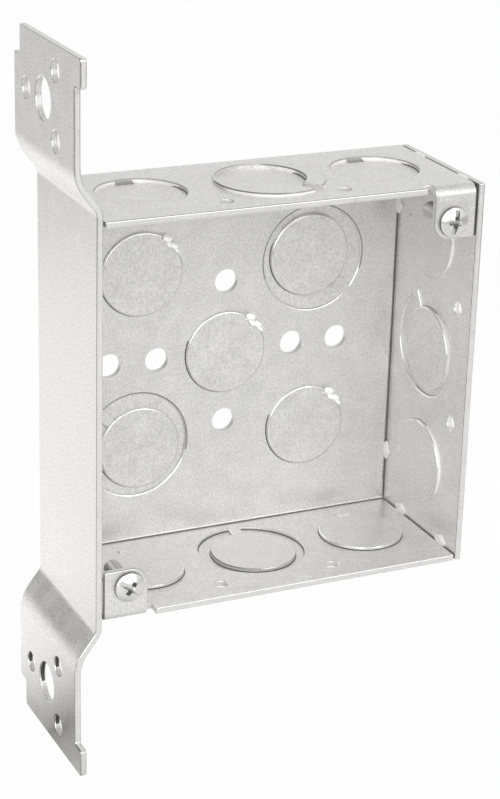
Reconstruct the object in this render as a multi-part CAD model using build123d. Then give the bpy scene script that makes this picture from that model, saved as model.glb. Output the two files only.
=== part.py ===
from build123d import *
from collections import namedtuple
import os

# Frame: the origin lies in the bracket's stud face, midway between its two large screw
# holes. +X runs from the stud into the box, +Y from the open front to the back, +Z is up.

# Sheet and box, all in millimetres
SHEET = 1.59                    # 16-gauge galvanized steel
BOX_WIDTH = 101.6               # over the strap and the side plate
BOX_HEIGHT = 101.6              # over the top and bottom walls
BOX_DEPTH = 41.3                # front edge to back face
BACK_BEND = 0.7                 # inside radius of the wrap's two back bends
SEAM_GAP = 0.5                  # open seam along the wrap's cut edges
WELD_LENGTH = 4.5               # projection that bridges the seam at each weld
WELD_SETBACKS = (8.0, 29.8)     # welds on the top and bottom walls, from the front
WELD_HEIGHT = 34.8              # welds on the back, from the middle of the box

# Stud bracket, which is also the wall on the stud side
BRACKET_WIDTH = 40.2
BRACKET_OFFSET = 5.5            # stud face to the box
JOG_CLEARANCE = 2.5             # strap runs straight this far past the box
JOG_RISE = 7.3                  # height of the slanted run, corner to corner
TAB_HEIGHT = 29.2               # flat tab, from the jog to its end
JOG_FOOT_RADIUS = 3.8           # centre-line radius next to the box
JOG_HEAD_RADIUS = 9.2           # centre-line radius next to the tab
END_STRIP_HEIGHT = 7.1
END_STRIP_SHIFT = 3.9           # towards the front
BRACKET_CORNER = 0.8
STUD_HOLE_DIA = 10.3
STUD_HOLE_INSET = 14.4          # from the end of the tab
STUD_HOLE_SETBACK = 20.4        # from the front edge
NAIL_HOLE_DIA = 5.3
NAIL_HOLE_RADIUS = 11.6         # from the large hole
NAIL_HOLE_ANGLES = (0, 135, 225)

# Knockouts: trade sizes 1/2 and 3/4
SMALL_SLUG_DIA = 22.2
LARGE_SLUG_DIA = 27.8
SLUG_PUSH = 0.95                # single slug, into the box
RING_PUSH = 0.8                 # outer ring of a double knockout, out of the box
DISC_PUSH = 0.3                 # inner disc of a double knockout, into the box
TONGUE_WIDTH = 3.2
DOUBLE_OFFSET = 1.35            # outer circle from the inner one, towards the tongue
TOP_DOUBLE_OFFSET = 2.5
TIE_WIDTH = 4.2                 # staked tie along the rim of a single slug
TIE_REACH = 1.5                 # from the rim inwards
TIE_PUSH = 0.45                 # further than the slug
ROW_PITCH = 31.4                # side knockouts, neighbours in a row
ROW_SETBACK = 21.3              # side knockouts, from the front edge
BOTTOM_ROW_SHIFT = 1.0          # towards the side plate
PLATE_ROW_SHIFT = 0.7           # upwards
BACK_KNOCKOUT_PITCH = 23.6      # corner knockouts of the back, from its middle

# Directions of tongues and ties in degrees, anticlockwise as a wall is seen from inside
TOP_TONGUE = -125
BOTTOM_TONGUE = 85
PLATE_TONGUE = 30
SIDE_TIE = 90                   # towards the back on every side wall
BACK_TIE = 45
BACK_TONGUE = -45               # at the upper right; turned half round at the lower left
HALF_TURN = 180

# Plain holes
BACK_HOLE_DIA = 6.4
BACK_HOLE_NEAR = 19.05          # from the middle of the back
BACK_HOLE_FAR = 32.1
PILOT_HOLE_DIA = 3.6
PILOT_HOLE_PITCH = 15.6         # either side of a row's middle
PILOT_HOLE_SETBACK = 6.8

# Cover screws and the ears that take them
SCREW_FROM_SIDE = 8.5           # screw axis to the outside of the box
SCREW_FROM_TOP = 8.95
SCREW_DIA = 4.1
SCREW_LENGTH = 12.7             # under the head
THREAD_CLEARANCE = 0.1
HEAD_DIA = 7.7
HEAD_HEIGHT = 1.75
CROWN_RADIUS = 6.6              # of the domed head
HEAD_GAP = 0.2                  # under the head at rest
DRIVE_SLOT_WIDTH = 1.2
DRIVE_SLOT_DEPTH = 0.9
TIP_CHAMFER = 0.5
UPPER_SLOT_ANGLE = 81           # of the driver slot, seen from the front
LOWER_SLOT_ANGLE = -35
EAR_INNER = 5.0                 # screw axis to the ear's inner edge
EAR_OUTER = 6.3                 # screw axis to the ear's outer edge
EAR_END = 4.5                   # screw axis to the ear's free end
EAR_ROUND = 4.4                 # large corner towards the opening
EAR_CORNER = 0.8
EAR_BEND = 0.9                  # inside radius
NOTCH_WIDTH = 2.2               # bend relief beside the ear
NOTCH_DEPTH = 3.2

# Places that follow from the sizes above
FRONT = -STUD_HOLE_SETBACK
BACK = FRONT + BOX_DEPTH
STRAP_OUTER = BRACKET_OFFSET
STRAP_INNER = STRAP_OUTER + SHEET
PLATE_OUTER = STRAP_OUTER + BOX_WIDTH
PLATE_INNER = PLATE_OUTER - SHEET
MIDDLE = STRAP_OUTER + BOX_WIDTH / 2
HALF_HEIGHT = BOX_HEIGHT / 2
INNER_HALF_HEIGHT = HALF_HEIGHT - SHEET
JOG_FOOT = HALF_HEIGHT + JOG_CLEARANCE
JOG_HEAD = JOG_FOOT + JOG_RISE
TAB_END = JOG_HEAD + TAB_HEIGHT
STUD_HOLE_HEIGHT = TAB_END - STUD_HOLE_INSET
WRAP_LEFT = STRAP_INNER + SEAM_GAP
WRAP_RIGHT = PLATE_INNER - SEAM_GAP
BACK_OUTER_BEND = BACK_BEND + SHEET
EAR_OUTER_BEND = EAR_BEND + SHEET
SCREW_X = PLATE_OUTER - SCREW_FROM_SIDE
SCREW_Z = HALF_HEIGHT - SCREW_FROM_TOP
EAR_LEFT = SCREW_X - EAR_INNER
EAR_WIDTH = EAR_INNER + EAR_OUTER
SMALL_SLUG = SMALL_SLUG_DIA / 2
LARGE_SLUG = LARGE_SLUG_DIA / 2

# Wall planes lie on the inside of the sheet and face into the box
BACK_WALL = Plane((MIDDLE, BACK - SHEET, 0), x_dir=(1, 0, 0), z_dir=(0, -1, 0))
TOP_WALL = Plane((MIDDLE, FRONT, INNER_HALF_HEIGHT), x_dir=(-1, 0, 0), z_dir=(0, 0, -1))
BOTTOM_WALL = Plane((MIDDLE, FRONT, -INNER_HALF_HEIGHT), x_dir=(1, 0, 0), z_dir=(0, 0, 1))
PLATE_WALL = Plane((PLATE_INNER, FRONT, 0), x_dir=(0, 0, 1), z_dir=(-1, 0, 0))

Feature = namedtuple("Feature", "added removed")


def slab(wall, outline, low, high):
    """An outline on a wall, raised between two heights above the wall's inside."""
    return wall * Pos(0, 0, low) * extrude(outline, high - low)


def single_knockout(wall, across, along, tie_angle):
    """A half-sheared slug pushed into the box, with a tie staked deeper at its rim."""
    slug = Pos(across, along) * Circle(SMALL_SLUG)
    rim = Pos(across, along) * Rot(0, 0, tie_angle) * Pos(SMALL_SLUG, 0)
    tie = slug & (rim * Rectangle(2 * TIE_REACH, TIE_WIDTH))
    tie_top = SLUG_PUSH + TIE_PUSH
    added = slab(wall, slug, 0, SLUG_PUSH) + slab(wall, tie, SLUG_PUSH, tie_top)
    removed = slab(wall, slug, -SHEET, SLUG_PUSH - SHEET)
    removed += slab(wall, tie, SLUG_PUSH - SHEET, tie_top - SHEET)
    return Feature(added, removed)


def double_knockout(wall, across, along, tongue_angle, offset):
    """A ring pushed out of the box round a disc pushed into it, with one flat tongue."""
    turn = Pos(across, along) * Rot(0, 0, tongue_angle)
    disc = turn * Circle(SMALL_SLUG)
    tongue = turn * Rectangle(LARGE_SLUG_DIA, TONGUE_WIDTH, align=(Align.MIN, Align.CENTER))
    ring = turn * Pos(offset, 0) * Circle(LARGE_SLUG) - disc - tongue
    added = slab(wall, ring, -SHEET - RING_PUSH, -SHEET) + slab(wall, disc, 0, DISC_PUSH)
    removed = slab(wall, ring, -RING_PUSH, 0) + slab(wall, disc, -SHEET, DISC_PUSH - SHEET)
    return Feature(added, removed)


def plain_hole(wall, across, along, diameter):
    """A round hole through a wall."""
    hole = slab(wall, Pos(across, along) * Circle(diameter / 2), -SHEET, 0)
    return Feature(None, hole)


def knockout_row(wall, shift, tongue_angle, offset):
    """Single, double and single knockouts along a wall, with two pilot holes in front."""
    features = [double_knockout(wall, shift, ROW_SETBACK, tongue_angle, offset)]
    for side in (-1, 1):
        features.append(single_knockout(wall, shift + side * ROW_PITCH, ROW_SETBACK, SIDE_TIE))
        pilot = shift + side * PILOT_HOLE_PITCH
        features.append(plain_hole(wall, pilot, PILOT_HOLE_SETBACK, PILOT_HOLE_DIA))
    return features


def back_features():
    """Knockouts on one diagonal and doubles on the other, with a cross of screw holes."""
    pitch = BACK_KNOCKOUT_PITCH
    features = [single_knockout(BACK_WALL, step, -step, BACK_TIE) for step in (-pitch, 0, pitch)]
    features.append(double_knockout(BACK_WALL, pitch, pitch, BACK_TONGUE, DOUBLE_OFFSET))
    features.append(double_knockout(BACK_WALL, -pitch, -pitch, BACK_TONGUE + HALF_TURN, DOUBLE_OFFSET))
    for side in (-1, 1):
        features.append(plain_hole(BACK_WALL, 0, side * BACK_HOLE_NEAR, BACK_HOLE_DIA))
        features.append(plain_hole(BACK_WALL, side * BACK_HOLE_NEAR, 0, BACK_HOLE_DIA))
        features.append(plain_hole(BACK_WALL, side * BACK_HOLE_FAR, 0, BACK_HOLE_DIA))
    return features


def press(sheet, features):
    """The sheet with its knockouts pressed and its holes punched."""
    for feature in features:
        if feature.added:
            sheet += feature.added
        sheet -= feature.removed
    return sheet


def folded_channel():
    """Back, top and bottom walls as one bent section, extruded across the box."""
    side_view = Plane((WRAP_LEFT, FRONT, 0), x_dir=(0, 1, 0), z_dir=(1, 0, 0))
    outside = Rectangle(BOX_DEPTH, BOX_HEIGHT, align=(Align.MIN, Align.CENTER))
    outside = fillet(outside.vertices().group_by(Axis.X)[-1], BACK_OUTER_BEND)
    inside = Rectangle(BOX_DEPTH - SHEET, 2 * INNER_HALF_HEIGHT, align=(Align.MIN, Align.CENTER))
    inside = fillet(inside.vertices().group_by(Axis.X)[-1], BACK_BEND)
    return extrude(side_view * (outside - inside), WRAP_RIGHT - WRAP_LEFT)


def weld_projections():
    """Short steps on the wrap's cut edges that meet the strap and the side plate."""
    steps = []
    for edge in (WRAP_LEFT - SEAM_GAP / 2, WRAP_RIGHT + SEAM_GAP / 2):
        for side in (-1, 1):
            wall_height = side * (HALF_HEIGHT - SHEET / 2)
            for setback in WELD_SETBACKS:
                steps.append(Pos(edge, FRONT + setback, wall_height) * Box(SEAM_GAP, WELD_LENGTH, SHEET))
            back_place = Pos(edge, BACK - SHEET / 2, side * WELD_HEIGHT)
            steps.append(back_place * Box(SEAM_GAP, SHEET, WELD_LENGTH))
    return steps


def opposite(shape):
    """The same shape turned half round about the middle of the opening."""
    middle = Pos(MIDDLE, 0, 0)
    return middle * Rot(0, HALF_TURN, 0) * middle.inverse() * shape


def ear_fold():
    """Quarter bend from the top wall down into the front plane."""
    start = Plane((EAR_LEFT, FRONT, 0), x_dir=(0, 1, 0), z_dir=(1, 0, 0))
    centre = Pos(EAR_OUTER_BEND, HALF_HEIGHT - EAR_OUTER_BEND)
    quarter = Rectangle(EAR_OUTER_BEND, EAR_OUTER_BEND, align=(Align.MAX, Align.MIN))
    bend = (Circle(EAR_OUTER_BEND) - Circle(EAR_BEND)) & quarter
    return extrude(start * centre * bend, EAR_WIDTH)


def ear_leaf():
    """Flat of the ear, rounded round its screw hole towards the opening."""
    face = Plane((SCREW_X, FRONT, SCREW_Z), x_dir=(1, 0, 0), z_dir=(0, -1, 0))
    length = EAR_END + SCREW_FROM_TOP - EAR_OUTER_BEND
    blank = Rectangle(EAR_WIDTH, length, align=(Align.MIN, Align.MIN))
    blank = Pos(-EAR_INNER, -EAR_END) * blank
    inner_end = blank.vertices().group_by(Axis.Y)[0].sort_by(Axis.X)[0]
    blank = fillet(inner_end, EAR_ROUND)
    outer_end = blank.vertices().group_by(Axis.Y)[0].sort_by(Axis.X)[-1]
    blank = fillet(outer_end, EAR_CORNER)
    blank -= Circle(SCREW_DIA / 2 + THREAD_CLEARANCE)
    return extrude(face * blank, -SHEET)


def ear_relief():
    """Room in the top wall's front edge for the ear's bend and the notch beside it."""
    right_of_corner = (Align.MIN, Align.MIN, Align.MAX)
    left_of_corner = (Align.MAX, Align.MIN, Align.MAX)
    room = Box(WRAP_RIGHT - EAR_LEFT, EAR_OUTER_BEND, SHEET, align=right_of_corner)
    notch = Box(NOTCH_WIDTH, NOTCH_DEPTH, SHEET, align=left_of_corner)
    return Pos(EAR_LEFT, FRONT, HALF_HEIGHT) * (room + notch)


def box_wrap():
    """Folded channel with its knockouts, weld projections and two cover ears."""
    wrap = folded_channel()
    wrap = press(wrap, back_features())
    wrap = press(wrap, knockout_row(TOP_WALL, 0, TOP_TONGUE, TOP_DOUBLE_OFFSET))
    wrap = press(wrap, knockout_row(BOTTOM_WALL, BOTTOM_ROW_SHIFT, BOTTOM_TONGUE, DOUBLE_OFFSET))
    for projection in weld_projections():
        wrap += projection
    relief = ear_relief()
    ear = ear_fold() + ear_leaf()
    wrap -= relief
    wrap -= opposite(relief)
    return wrap + ear + opposite(ear)


def side_plate():
    """Flat wall that closes the channel opposite the stud, flush with its outline."""
    outline = Rectangle(BOX_HEIGHT, BOX_DEPTH, align=(Align.CENTER, Align.MIN))
    back_corners = outline.vertices().group_by(Axis.Y)[-1]
    outline = fillet(back_corners, BACK_OUTER_BEND)
    plate = slab(PLATE_WALL, outline, -SHEET, 0)
    row = knockout_row(PLATE_WALL, PLATE_ROW_SHIFT, PLATE_TONGUE, DOUBLE_OFFSET)
    return press(plate, row)


def bracket_section():
    """Edge view of the strap: a straight run at the box and two tabs jogged to the stud."""
    tab = SHEET / 2
    strap = STRAP_OUTER + SHEET / 2
    above = [(tab, TAB_END), (tab, JOG_HEAD), (strap, JOG_FOOT)]
    below = [(across, -up) for across, up in reversed(above)]
    radii = [JOG_HEAD_RADIUS, JOG_FOOT_RADIUS, JOG_FOOT_RADIUS, JOG_HEAD_RADIUS]
    edge_view = Plane((0, FRONT, 0), x_dir=(1, 0, 0), z_dir=(0, -1, 0))
    return edge_view * trace(FilletPolyline(*above, *below, radius=radii), SHEET)


def bracket_blank():
    """Outline of the strap seen from the stud, its end strips shifted to the front."""
    step = TAB_END - END_STRIP_HEIGHT
    front_low = (Align.MIN, Align.MIN)
    run = Pos(0, -step) * Rectangle(BRACKET_WIDTH, 2 * step, align=front_low)
    strip = Pos(-END_STRIP_SHIFT, step) * Rectangle(BRACKET_WIDTH, END_STRIP_HEIGHT, align=front_low)
    outline = run + strip + mirror(strip, Plane.XZ)
    outline = fillet(outline.vertices(), BRACKET_CORNER)
    seen_from_stud = Plane((0, FRONT, 0), x_dir=(0, 1, 0), z_dir=(1, 0, 0))
    return extrude(seen_from_stud * outline, STRAP_INNER)


def bracket_holes():
    """One large screw hole and three nail holes round it in each tab."""
    holes = []
    for side in (-1, 1):
        tab = Plane((0, 0, side * STUD_HOLE_HEIGHT), x_dir=(0, 1, 0), z_dir=(1, 0, 0))
        holes.append(extrude(tab * Circle(STUD_HOLE_DIA / 2), SHEET))
        for angle in NAIL_HOLE_ANGLES:
            place = Rot(0, 0, angle) * Pos(NAIL_HOLE_RADIUS, 0)
            holes.append(extrude(tab * place * Circle(NAIL_HOLE_DIA / 2), SHEET))
    return holes


def stud_bracket():
    """Strap wall and its two jogged tabs, cut from one strip."""
    reach = BRACKET_WIDTH + END_STRIP_SHIFT
    strip = extrude(bracket_section(), END_STRIP_SHIFT) + extrude(bracket_section(), -reach)
    return (strip & bracket_blank()) - bracket_holes()


def cover_screw(slot_angle):
    """Machine screw with a low domed and slotted head, on the upper ear."""
    seat = FRONT - HEAD_GAP
    axis = Plane((SCREW_X, seat, SCREW_Z), x_dir=(1, 0, 0), z_dir=(0, -1, 0))
    foot = (Align.CENTER, Align.CENTER, Align.MIN)
    top = (Align.CENTER, Align.CENTER, Align.MAX)
    dome = Pos(0, 0, HEAD_HEIGHT - CROWN_RADIUS) * Sphere(CROWN_RADIUS)
    head = Cylinder(HEAD_DIA / 2, HEAD_HEIGHT, align=foot) & dome
    shank = Cylinder(SCREW_DIA / 2, SCREW_LENGTH, align=top)
    shank = chamfer(shank.edges().group_by(Axis.Z)[0], TIP_CHAMFER)
    slot = Box(HEAD_DIA, DRIVE_SLOT_WIDTH, DRIVE_SLOT_DEPTH, align=top)
    slot = Pos(0, 0, HEAD_HEIGHT) * Rot(0, 0, slot_angle) * slot
    return axis * (head + shank - slot)


nodes = {
    "box_wrap": box_wrap(),
    "side_plate": side_plate(),
    "stud_bracket": stud_bracket(),
    "upper_cover_screw": cover_screw(UPPER_SLOT_ANGLE),
    "lower_cover_screw": opposite(cover_screw(LOWER_SLOT_ANGLE + HALF_TURN)),
}
os.makedirs("parts", exist_ok=True)
for name, shape in nodes.items():
    export_step(shape, f"parts/{name}.step")
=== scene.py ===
"""Looks of the square electrical box: eased sheets, welds, threaded screws, finishes, studio and camera."""
import math

import bmesh
import bpy
from mathutils import Matrix, Vector
from mathutils.bvhtree import BVHTree
from mathutils.geometry import delaunay_2d_cdt


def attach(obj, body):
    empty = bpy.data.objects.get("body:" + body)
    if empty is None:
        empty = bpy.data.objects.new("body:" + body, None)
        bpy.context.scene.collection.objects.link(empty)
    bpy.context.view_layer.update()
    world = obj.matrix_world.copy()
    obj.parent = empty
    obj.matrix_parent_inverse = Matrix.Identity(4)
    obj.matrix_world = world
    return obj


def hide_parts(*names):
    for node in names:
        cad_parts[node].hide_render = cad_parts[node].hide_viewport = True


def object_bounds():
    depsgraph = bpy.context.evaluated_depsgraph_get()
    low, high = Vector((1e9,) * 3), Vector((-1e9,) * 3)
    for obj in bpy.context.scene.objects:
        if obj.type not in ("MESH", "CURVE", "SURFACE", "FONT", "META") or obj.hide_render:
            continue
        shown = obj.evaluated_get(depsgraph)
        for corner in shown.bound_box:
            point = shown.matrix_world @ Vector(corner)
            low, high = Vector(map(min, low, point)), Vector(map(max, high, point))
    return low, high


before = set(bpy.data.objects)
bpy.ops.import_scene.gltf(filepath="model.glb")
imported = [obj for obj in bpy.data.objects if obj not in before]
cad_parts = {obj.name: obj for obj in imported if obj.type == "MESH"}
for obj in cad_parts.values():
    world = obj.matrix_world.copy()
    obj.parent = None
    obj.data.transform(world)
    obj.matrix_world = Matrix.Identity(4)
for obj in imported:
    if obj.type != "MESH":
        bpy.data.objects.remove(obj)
cad_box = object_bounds()

MM = 0.001

# Sheet edges
SHEET = 1.59 * MM
CUT_DEPTH = 1.4 * SHEET         # metal deeper than this behind a face makes it a cut face
EDGE_EASE = 0.30 * MM
SLUG_ROUND = 0.35 * MM          # rim of a half-sheared step
ROLLOVER_WIDTH = 0.6 * MM       # shallow rolled-over border of a slug that faces into the box
ROLLOVER_DROP = 0.24 * MM
LEAST_STEP = 0.6 * MM           # a step lower than this has no torn foot darkened with painted shade
TURN_LIMIT = math.radians(35)   # a sharper turn ends the run of a rim
SHEAR_CRACK = 0.20 * MM         # torn foot of a half-sheared step, darkened as painted shade in its inside corner
PLATE_CRACK = 0.08 * MM
NARROW_EASE = 0.12 * MM         # both rims of the top double's ring where it is narrow
EDGE_STEPS = 3                  # facets across each kind of round
NARROW_STEPS = 2
ROUND_STEPS = 5
ROUND_PROFILE = 0.5             # a quarter of a circle
SHARP_ANGLE = math.radians(35)
FLAT_ANGLE = math.radians(0.3)
MERGE_DISTANCE = 0.0005 * MM
LEAST_OVERLAP = 0.4 * MM * MM   # twice the area of an overlap that is laid anew
CRACK_WIDTH = 0.002 * MM        # a corner this near to an open edge lies on it
RAY_START = 0.01 * MM           # behind a face, where a ray into its metal starts
SAME_PLANE = 0.999999           # cosine between the normals of faces in one plane
INSIDE_OUTLINE = 1              # kind of triangulation that leaves out what lies round an outline
MEETING_POINTS = 1e-7           # corners closer than this, in millimetres, are one in a triangulation
NORMAL_WEIGHT = 100

# Places shared with the solids, in millimetres
FRONT = -20.4
BACK = 20.9
HALF_HEIGHT = 50.8
STRAP_INNER = 7.09
PLATE_INNER = 105.51
SEAM = 0.5                      # open seam along the wrap's cut edges
PLATE_SEAM = (PLATE_INNER, -1)  # inside face of an end wall, and the way it faces
STRAP_SEAM = (STRAP_INNER, 1)
WELD_SETBACKS = (8.0, 29.8)
WELD_HEIGHT = 34.8
MIDDLE = 56.3
SCREW_ACROSS = 42.3
SCREW_UP = 41.85
EAR_END = 37.35
BACK_HOLES = ((0, 19.05), (0, -19.05), (19.05, 0), (-19.05, 0), (32.1, 0), (-32.1, 0))
BACK_HOLE_RADIUS = 3.2
BACK_SINGLES = ((-23.6, 23.6), (0, 0), (23.6, -23.6))
BACK_DOUBLES = ((23.6, 23.6), (-23.6, -23.6))
BACK_RINGS = ((24.555, 22.645), (-24.555, -22.645))
DISC_PUSH = 0.3
ROW_SETBACK = 21.3
ROW_PITCH = 31.4
BOTTOM_SHIFT = 1.0
BOTTOM_RING = (0.118, 1.345)    # middle of the bottom double's ring from its disc's
TOP_RING = (1.434, -2.048)      # middle of the top double's ring from its disc's
TIE_WIDTH = 4.2
TIE_DEPTH = 1.5
NARROW_RING = Vector((-0.574, 0.819))   # way from the top double's middle to where its ring is narrowest
SLUG_RADIUS = 11.1
RING_RADIUS = 13.9
SLUG_PUSH = 0.95
ROLLED_RIMS = ((BACK_SINGLES, SLUG_RADIUS, SLUG_PUSH), (BACK_DOUBLES, SLUG_RADIUS, DISC_PUSH),
               (BACK_RINGS, RING_RADIUS, 0))
TIE_RISE = 1.4                  # top of a staked tie over its wall
# Flakes at a tie: step along its rim, shift outwards, length and width
TIE_FLAKES = ((-1.9, 0.45, 1.3, 0.95), (-0.6, -0.35, 1.2, 0.7), (0.8, 0.2, 1.4, 0.8), (2.3, -0.1, 1.2, 0.5))
FLAKE_FACING = Vector((-0.27, -0.89, 0.37)).normalized()
FLAKE_THICKNESS = 0.22
FLAKE_RISE = 0.1                # over the top of the tie
FLAKE_INSET = 0.5               # from the rim of the slug
STUD_HOLE_UP = 75.4
STUD_HOLES = ((0, 0, 5.15), (11.6, 0, 2.65), (-8.2, 8.2, 2.65), (-8.2, -8.2, 2.65))

# How near a place counts as on a feature, in millimetres
ON_FACE = 0.01
ON_LEVEL = 0.02
ON_TIE = 0.03
ON_LINE = 0.05
SLACK = 0.1
RIM_BAND = 0.6

# Depths that hold the features of a wall, from its face, in millimetres
PIT_DEPTH = 0.3
LIP_DEPTH = 0.5
SKIN = 1.0                      # less than the sheet is thick
HOLE_REACH = 2.0
FOLD_REACH = 2.6
WALL_REACH = 3.0
ROW_REACH = 4.0

# Distances from the middle of a disc or slug, in millimetres
NARROW_BAND = (10, 13)          # of the narrow part of the top double's ring
TONGUE_MIDDLE = 13
TONGUE_REACH = 1.9              # half a tongue's length
TONGUE_SIDE = 2                 # half a tongue's width
PIT_SETBACK = 9                 # of a tie's pit

# Shares of a normal along an axis that tell which way a face looks
SQUARE = 0.99
MOSTLY = 0.9
FOLD_MIDDLE = 0.66
HALFWAY = 0.5
HOLE_FLOOR = 0.4
FOOT_LEAN = 0.35
PARTLY = 0.3
RIM_LEAN = 0.25
STEP_LEAN = 0.2
BARELY = 0.1

# Cover screws, in millimetres
HEAD_RADIUS = 3.82
HEAD_HEIGHT = 1.75
CROWN_RADIUS = 6.6
HEAD_EASE = 0.16
RIM_SHADE = 0.40                # head's side wall in the shade of its rim, from its foot
HEAD_GAP = 0.2
SLOT_WIDTH = 1.3
SLOT_DEPTH = 0.8
CROSS_SPAN = 4.8
CROSS_WIDTH = 1.35
CROSS_DEPTH = 1.6
THREAD_RADIUS = 2.04
THREAD_ROOT = 1.62
THREAD_PITCH = 0.794            # number 8-32
THREAD_LENGTH = 12.7
HEAD_SIDES = 64
CROWN_STEPS = 12
THREAD_SIDES = 40
THREAD_ROWS = 8                 # rows of corners in each turn
TIP_FADE = 0.6                  # length over which the thread runs out
TIP_TAPER = 0.3
RIDGE_GAIN = 1.25               # cuts the crest of the thread flat
BAR_RISE = 0.5                  # of a driver bit over the crown
CROSS_TAPER = 0.35
SLOT_REACH = 2.4                # slot's length, in head radii
RECESS_SKIN = 0.02
RECESS_LEAN = 0.35              # walls of the recess are steeper than this
UPPER_SLOT_ANGLE = math.radians(81)
LOWER_SLOT_ANGLE = math.radians(-35)

# Camera of the photograph
IMAGE_HEIGHT = 799
FOCAL_PIXELS = 2237.3
SENSOR = 36.0
TARGET = Vector((50.76, -8.44, -2.59)) * MM
DISTANCE = 554.2 * MM
AZIMUTH = math.radians(-25.373)
ELEVATION = math.radians(21.183)
ROLL = math.radians(1.65)

# Finishes
NOISE_LOW, NOISE_HIGH = 0.3, 0.7    # range that most of a noise lies in
WARM_RED, WARM_BLUE = 0.005, 0.01   # what a step of warmth adds to red, and takes from blue
CLOUD_GRAINS = 11                   # size of a cloud of tone, in grains
CLOUD_SHARE = 0.25
RIPPLE_SIZE = 26 * MM
RIPPLE_HEIGHT = 0.03 * MM


class Nodes:
    """Builds the node tree of one material or world."""

    def __init__(self, owner):
        owner.use_nodes = True
        self.tree = owner.node_tree
        self.tree.nodes.clear()

    def add(self, kind, settings=None, **inputs):
        """A new node with its settings, and its inputs linked or set by name."""
        node = self.tree.nodes.new("ShaderNode" + kind)
        for name, value in (settings or {}).items():
            setattr(node, name, value)
        for name, value in inputs.items():
            self.put(node.inputs[name.replace("_", " ")], value)
        return node

    def put(self, socket, value):
        """Links a socket to an output, or sets its own value."""
        if isinstance(value, bpy.types.NodeSocket):
            self.tree.links.new(value, socket)
        else:
            socket.default_value = value

    def ramp(self, factor, stops):
        """A colour ramp from (position, colour) stops."""
        node = self.add("ValToRGB", Fac=factor)
        elements = node.color_ramp.elements
        while len(elements) < len(stops):
            elements.new(0.5)
        for element, (position, colour) in zip(elements, stops):
            element.position = position
            element.color = (*colour, 1)
        return node.outputs["Color"]

    def levels(self, factor, stops):
        """Grey levels from (position, level) stops."""
        return self.ramp(factor, [(position, (level,) * 3) for position, level in stops])

    def noise(self, where, size, detail=2.0, rough=0.5):
        """Noise whose blotches are about size across."""
        node = self.add("TexNoise", Vector=where, Scale=1 / size, Detail=detail, Roughness=rough)
        return node.outputs["Fac"]

    def spread(self, value, low, high):
        """Noise levels stretched over a range."""
        node = self.add("MapRange", Value=value)
        span = (("From Min", NOISE_LOW), ("From Max", NOISE_HIGH), ("To Min", low), ("To Max", high))
        for name, number in span:
            node.inputs[name].default_value = number
        return node.outputs["Result"]

    def blend(self, share, first, second):
        """Number mixed from two by a share."""
        node = self.add("Mix", {"data_type": "FLOAT"}, Factor=share)
        self.put(node.inputs[2], first)
        self.put(node.inputs[3], second)
        return node.outputs[0]

    def larger(self, first, second):
        """The larger of two numbers."""
        node = self.add("Math", {"operation": "MAXIMUM"})
        self.put(node.inputs[0], first)
        self.put(node.inputs[1], second)
        return node.outputs[0]

    def shader_mix(self, share, first, second):
        """A shader mixed from two by a share."""
        node = self.add("MixShader", Fac=share)
        self.put(node.inputs[1], first)
        self.put(node.inputs[2], second)
        return node.outputs[0]

    def bump(self, height, distance, normal=None):
        """A normal tilted by a height field."""
        node = self.add("Bump", Height=height, Distance=distance, Strength=1.0)
        if normal:
            self.put(node.inputs["Normal"], normal)
        return node.outputs["Normal"]


def grey(level, warmth):
    """A zinc grey, a trace warmer than neutral."""
    return (level * (1 + WARM_RED * warmth), level, level * (1 - WARM_BLUE * warmth))


def zinc(name, level, contrast, metallic, rough, grain, depth, warmth=1.0):
    """Zinc-coated steel: speckled grain, soft clouds of tone, and a slow ripple of the sheet."""
    made = bpy.data.materials.new(name)
    nodes = Nodes(made)
    where = nodes.add("TexCoord").outputs["Object"]
    fine = nodes.noise(where, grain, detail=2.0, rough=0.6)
    clouds = nodes.noise(where, CLOUD_GRAINS * grain, detail=3.0, rough=0.55)
    mixed = nodes.blend(CLOUD_SHARE, fine, clouds)
    low, high = grey(level * (1 - contrast), warmth), grey(level * (1 + contrast), warmth)
    colour = nodes.ramp(mixed, ((NOISE_LOW, low), (NOISE_HIGH, high)))
    waves = nodes.bump(nodes.noise(where, RIPPLE_SIZE, detail=1.0), RIPPLE_HEIGHT)
    surface = nodes.bump(fine, depth, waves)
    shader = nodes.add("BsdfPrincipled", Base_Color=colour, Metallic=metallic,
                       Roughness=nodes.spread(clouds, *rough), Normal=surface)
    nodes.add("OutputMaterial", Surface=shader.outputs["BSDF"])
    return made


# Name, level, contrast, metallic share, range of roughness, size and depth of the grain, and warmth
GALVANIZED = zinc("galvanized_sheet", 0.81, 0.20, 0.70, (0.34, 0.44), 0.55 * MM, 0.010 * MM)
STRAP_ZINC = zinc("galvanized_strap", 0.88, 0.24, 0.80, (0.34, 0.44), 0.55 * MM, 0.010 * MM, 1.9)
CUT_STEEL = zinc("sheared_face", 0.70, 0.14, 0.30, (0.26, 0.36), 0.4 * MM, 0.015 * MM)
CUT_STRAP = zinc("sheared_strap", 0.72, 0.14, 0.30, (0.26, 0.36), 0.4 * MM, 0.015 * MM)
# Painted shade, partly the torn metal: near-black feet of half-sheared steps and walls of the lower tab's
# holes
SHEAR_SHADE = zinc("shear_shade", 0.08, 0.20, 0.50, (0.40, 0.50), 0.4 * MM, 0.010 * MM)
# Painted highlight: a near-white copy of the sheared face for steps that face the light
LIT_SHEAR = zinc("sheared_painted_light", 0.95, 0.05, 0.10, (0.35, 0.45), 0.4 * MM, 0.010 * MM)
EDGE_ZINC = zinc("eased_edge", 0.90, 0.08, 1.0, (0.16, 0.24), 0.4 * MM, 0.004 * MM)
# Painted shade: dark outlines along the front lips, ring rims that face down and the top double's rims
EDGE_SHADE = zinc("edge_shade", 0.30, 0.15, 0.80, (0.30, 0.40), 0.4 * MM, 0.004 * MM)
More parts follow.
